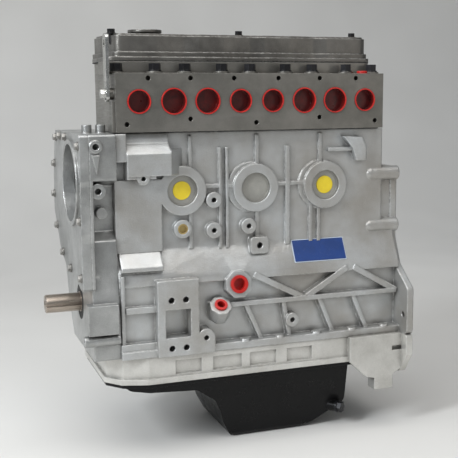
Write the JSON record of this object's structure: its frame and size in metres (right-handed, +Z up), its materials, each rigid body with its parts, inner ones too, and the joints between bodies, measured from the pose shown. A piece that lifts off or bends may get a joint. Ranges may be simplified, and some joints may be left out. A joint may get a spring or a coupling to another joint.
{
  "type": "four-cylinder diesel engine",
  "caption": "Bare in-line diesel engine with its block, head, ladder frame, sump, timing case, crank train and pushrod valve gear, ports closed by caps.",
  "frame": {"origin": "centre of the crankshaft's rear flange face, on the crankshaft's axis", "axes": "+X along the crankshaft, out of the rear flange; -Y towards the manifold side; +Z up"},
  "size_m": [0.615, 0.317, 0.696],
  "materials": {
    "block_paint": "satin silver-grey paint",
    "cast_iron": "machined cast iron",
    "bearing_metal": "plain bearing metal",
    "forged_steel": "machined steel",
    "black_rubber": "matt",
    "head_alloy": "machined aluminium",
    "black_steel": "black oxide",
    "spring_steel": "oiled",
    "cover_alloy": "cast alloy, dull",
    "bright_steel": "zinc plated",
    "red_plastic": "moulded",
    "yellow_tab": "matt",
    "brass": "turned",
    "case_alloy": "bright cast alloy",
    "frame_alloy": "cast alloy",
    "black_paint": "satin black",
    "piston_alloy": "turned"
  },
  "bodies": {
    "engine": {"cylinder_block": "block_paint", "main_bearing_caps": "cast_iron", "main_bearing_shells": "bearing_metal", "cylinder_head": "head_alloy", "gaskets_and_seals": "black_rubber", "head_bolts": "black_steel", "valve_springs": "spring_steel", "rocker_gear": "forged_steel", "rocker_cover": "cover_alloy", "oil_filler_cap": "cover_alloy", "cover_and_cap_bolts": "bright_steel", "oil_pickup": "bright_steel", "port_caps": "red_plastic", "core_plugs": "bright_steel", "heat_tabs": "yellow_tab", "brass_plug": "brass", "timing_case": "case_alloy", "timing_cover": "case_alloy", "timing_belt": "black_rubber", "ladder_frame": "frame_alloy", "oil_sump": "black_paint", "drain_plug": "bright_steel", "lifting_eye": "bright_steel"},
    "crank": {"crankshaft": "forged_steel", "crank_sprocket": "forged_steel"},
    "cam": {"camshaft": "forged_steel", "cam_sprocket": "forged_steel"},
    "tensioner": {"tensioner_pulley": "forged_steel"},
    "piston_1": {"piston_1": "piston_alloy"},
    "rod_1": {"connecting_rod_1": "forged_steel"},
    "piston_2": {"piston_2": "piston_alloy"},
    "rod_2": {"connecting_rod_2": "forged_steel"},
    "piston_3": {"piston_3": "piston_alloy"},
    "rod_3": {"connecting_rod_3": "forged_steel"},
    "piston_4": {"piston_4": "piston_alloy"},
    "rod_4": {"connecting_rod_4": "forged_steel"},
    "valve_1": {"valve_1": "bright_steel"},
    "rocker_1": {"rocker_1": "cast_iron"},
    "pushrod_1": {"pushrod_1": "bright_steel"},
    "valve_2": {"valve_2": "bright_steel"},
    "rocker_2": {"rocker_2": "cast_iron"},
    "pushrod_2": {"pushrod_2": "bright_steel"},
    "valve_3": {"valve_3": "bright_steel"},
    "rocker_3": {"rocker_3": "cast_iron"},
    "pushrod_3": {"pushrod_3": "bright_steel"},
    "valve_4": {"valve_4": "bright_steel"},
    "rocker_4": {"rocker_4": "cast_iron"},
    "pushrod_4": {"pushrod_4": "bright_steel"},
    "valve_5": {"valve_5": "bright_steel"},
    "rocker_5": {"rocker_5": "cast_iron"},
    "pushrod_5": {"pushrod_5": "bright_steel"},
    "valve_6": {"valve_6": "bright_steel"},
    "rocker_6": {"rocker_6": "cast_iron"},
    "pushrod_6": {"pushrod_6": "bright_steel"},
    "valve_7": {"valve_7": "bright_steel"},
    "rocker_7": {"rocker_7": "cast_iron"},
    "pushrod_7": {"pushrod_7": "bright_steel"},
    "valve_8": {"valve_8": "bright_steel"},
    "rocker_8": {"rocker_8": "cast_iron"},
    "pushrod_8": {"pushrod_8": "bright_steel"}
  },
  "joints": [
    {"name": "crank_spin", "type": "hinge", "parent": "engine", "child": "crank", "pos_m": [0, 0, 0], "axis": [1, 0, 0], "continuous": true},
    {"name": "cam_spin", "type": "hinge", "parent": "engine", "child": "cam", "pos_m": [-0.5, 0.082, 0.105], "axis": [1, 0, 0], "continuous": true},
    {"name": "tensioner_spin", "type": "hinge", "parent": "engine", "child": "tensioner", "pos_m": [-0.537, -0.034, 0.116], "axis": [1, 0, 0], "continuous": true},
    {"name": "piston_slide_1", "type": "slide", "parent": "engine", "child": "piston_1", "axis": [0, 0, 1], "range_m": [-0.097, 0]},
    {"name": "rod_swing_1", "type": "hinge", "parent": "piston_1", "child": "rod_1", "pos_m": [-0.446, 0, 0.2239], "axis": [1, 0, 0], "range_deg": [-16.05, 16.05], "deforming": ["connecting_rod_1"]},
    {"name": "piston_slide_2", "type": "slide", "parent": "engine", "child": "piston_2", "axis": [0, 0, 1], "range_m": [0, 0.097]},
    {"name": "rod_swing_2", "type": "hinge", "parent": "piston_2", "child": "rod_2", "pos_m": [-0.334, 0, 0.1269], "axis": [1, 0, 0], "range_deg": [-16.05, 16.05], "deforming": ["connecting_rod_2"]},
    {"name": "piston_slide_3", "type": "slide", "parent": "engine", "child": "piston_3", "axis": [0, 0, 1], "range_m": [0, 0.097]},
    {"name": "rod_swing_3", "type": "hinge", "parent": "piston_3", "child": "rod_3", "pos_m": [-0.222, 0, 0.1269], "axis": [1, 0, 0], "range_deg": [-16.05, 16.05], "deforming": ["connecting_rod_3"]},
    {"name": "piston_slide_4", "type": "slide", "parent": "engine", "child": "piston_4", "axis": [0, 0, 1], "range_m": [-0.097, 0]},
    {"name": "rod_swing_4", "type": "hinge", "parent": "piston_4", "child": "rod_4", "pos_m": [-0.11, 0, 0.2239], "axis": [1, 0, 0], "range_deg": [-16.05, 16.05], "deforming": ["connecting_rod_4"]},
    {"name": "rocker_swing_1", "type": "hinge", "parent": "engine", "child": "rocker_1", "pos_m": [-0.468, 0.04, 0.41], "axis": [1, 0, 0], "range_deg": [0, 11.46], "stiffness_Nm_per_rad": 10, "springref_deg": -11.46},
    {"name": "valve_slide_1", "type": "slide", "parent": "engine", "child": "valve_1", "axis": [0, 0, -1], "range_m": [0, 0.0092], "deforming": ["valve_springs"]},
    {"name": "pushrod_slide_1", "type": "slide", "parent": "engine", "child": "pushrod_1", "axis": [0, 0, 1], "range_m": [0, 0.0084]},
    {"name": "rocker_swing_2", "type": "hinge", "parent": "engine", "child": "rocker_2", "pos_m": [-0.424, 0.04, 0.41], "axis": [1, 0, 0], "range_deg": [0, 11.46], "stiffness_Nm_per_rad": 10, "springref_deg": -11.46},
    {"name": "valve_slide_2", "type": "slide", "parent": "engine", "child": "valve_2", "axis": [0, 0, -1], "range_m": [0, 0.0092], "deforming": ["valve_springs"]},
    {"name": "pushrod_slide_2", "type": "slide", "parent": "engine", "child": "pushrod_2", "axis": [0, 0, 1], "range_m": [0, 0.0084]},
    {"name": "rocker_swing_3", "type": "hinge", "parent": "engine", "child": "rocker_3", "pos_m": [-0.356, 0.04, 0.41], "axis": [1, 0, 0], "range_deg": [0, 11.46], "stiffness_Nm_per_rad": 10, "springref_deg": -11.46},
    {"name": "valve_slide_3", "type": "slide", "parent": "engine", "child": "valve_3", "axis": [0, 0, -1], "range_m": [0, 0.0092], "deforming": ["valve_springs"]},
    {"name": "pushrod_slide_3", "type": "slide", "parent": "engine", "child": "pushrod_3", "axis": [0, 0, 1], "range_m": [0, 0.0084]},
    {"name": "rocker_swing_4", "type": "hinge", "parent": "engine", "child": "rocker_4", "pos_m": [-0.312, 0.04, 0.41], "axis": [1, 0, 0], "range_deg": [0, 11.46], "stiffness_Nm_per_rad": 10, "springref_deg": -11.46},
    {"name": "valve_slide_4", "type": "slide", "parent": "engine", "child": "valve_4", "axis": [0, 0, -1], "range_m": [0, 0.0092], "deforming": ["valve_springs"]},
    {"name": "pushrod_slide_4", "type": "slide", "parent": "engine", "child": "pushrod_4", "axis": [0, 0, 1], "range_m": [0, 0.0084]},
    {"name": "rocker_swing_5", "type": "hinge", "parent": "engine", "child": "rocker_5", "pos_m": [-0.244, 0.04, 0.41], "axis": [1, 0, 0], "range_deg": [0, 11.46], "stiffness_Nm_per_rad": 10, "springref_deg": -11.46},
    {"name": "valve_slide_5", "type": "slide", "parent": "engine", "child": "valve_5", "axis": [0, 0, -1], "range_m": [0, 0.0092], "deforming": ["valve_springs"]},
    {"name": "pushrod_slide_5", "type": "slide", "parent": "engine", "child": "pushrod_5", "axis": [0, 0, 1], "range_m": [0, 0.0084]},
    {"name": "rocker_swing_6", "type": "hinge", "parent": "engine", "child": "rocker_6", "pos_m": [-0.2, 0.04, 0.41], "axis": [1, 0, 0], "range_deg": [0, 11.46], "stiffness_Nm_per_rad": 10, "springref_deg": -11.46},
    {"name": "valve_slide_6", "type": "slide", "parent": "engine", "child": "valve_6", "axis": [0, 0, -1], "range_m": [0, 0.0092], "deforming": ["valve_springs"]},
    {"name": "pushrod_slide_6", "type": "slide", "parent": "engine", "child": "pushrod_6", "axis": [0, 0, 1], "range_m": [0, 0.0084]},
    {"name": "rocker_swing_7", "type": "hinge", "parent": "engine", "child": "rocker_7", "pos_m": [-0.132, 0.04, 0.41], "axis": [1, 0, 0], "range_deg": [0, 11.46], "stiffness_Nm_per_rad": 10, "springref_deg": -11.46},
    {"name": "valve_slide_7", "type": "slide", "parent": "engine", "child": "valve_7", "axis": [0, 0, -1], "range_m": [0, 0.0092], "deforming": ["valve_springs"]},
    {"name": "pushrod_slide_7", "type": "slide", "parent": "engine", "child": "pushrod_7", "axis": [0, 0, 1], "range_m": [0, 0.0084]},
    {"name": "rocker_swing_8", "type": "hinge", "parent": "engine", "child": "rocker_8", "pos_m": [-0.088, 0.04, 0.41], "axis": [1, 0, 0], "range_deg": [0, 11.46], "stiffness_Nm_per_rad": 10, "springref_deg": -11.46},
    {"name": "valve_slide_8", "type": "slide", "parent": "engine", "child": "valve_8", "axis": [0, 0, -1], "range_m": [0, 0.0092], "deforming": ["valve_springs"]},
    {"name": "pushrod_slide_8", "type": "slide", "parent": "engine", "child": "pushrod_8", "axis": [0, 0, 1], "range_m": [0, 0.0084]}
  ],
  "couplings": [
    {"joint": "cam_spin", "follows": "crank_spin", "ratio": 0.5},
    {"joint": "tensioner_spin", "follows": "crank_spin", "ratio": 1.2994},
    {"joint": "piston_slide_2", "follows": "piston_slide_1", "ratio": -1},
    {"joint": "rod_swing_2", "follows": "rod_swing_1", "ratio": -1},
    {"joint": "piston_slide_3", "follows": "piston_slide_1", "ratio": -1},
    {"joint": "rod_swing_3", "follows": "rod_swing_1", "ratio": -1},
    {"joint": "piston_slide_4", "follows": "piston_slide_1", "ratio": 1},
    {"joint": "rod_swing_4", "follows": "rod_swing_1", "ratio": 1},
    {"joint": "valve_slide_1", "follows": "rocker_swing_1", "m_per_rad": 0.046},
    {"joint": "pushrod_slide_1", "follows": "rocker_swing_1", "m_per_rad": 0.042},
    {"joint": "valve_slide_2", "follows": "rocker_swing_2", "m_per_rad": 0.046},
    {"joint": "pushrod_slide_2", "follows": "rocker_swing_2", "m_per_rad": 0.042},
    {"joint": "valve_slide_3", "follows": "rocker_swing_3", "m_per_rad": 0.046},
    {"joint": "pushrod_slide_3", "follows": "rocker_swing_3", "m_per_rad": 0.042},
    {"joint": "valve_slide_4", "follows": "rocker_swing_4", "m_per_rad": 0.046},
    {"joint": "pushrod_slide_4", "follows": "rocker_swing_4", "m_per_rad": 0.042},
    {"joint": "valve_slide_5", "follows": "rocker_swing_5", "m_per_rad": 0.046},
    {"joint": "pushrod_slide_5", "follows": "rocker_swing_5", "m_per_rad": 0.042},
    {"joint": "valve_slide_6", "follows": "rocker_swing_6", "m_per_rad": 0.046},
    {"joint": "pushrod_slide_6", "follows": "rocker_swing_6", "m_per_rad": 0.042},
    {"joint": "valve_slide_7", "follows": "rocker_swing_7", "m_per_rad": 0.046},
    {"joint": "pushrod_slide_7", "follows": "rocker_swing_7", "m_per_rad": 0.042},
    {"joint": "valve_slide_8", "follows": "rocker_swing_8", "m_per_rad": 0.046},
    {"joint": "pushrod_slide_8", "follows": "rocker_swing_8", "m_per_rad": 0.042}
  ]
}
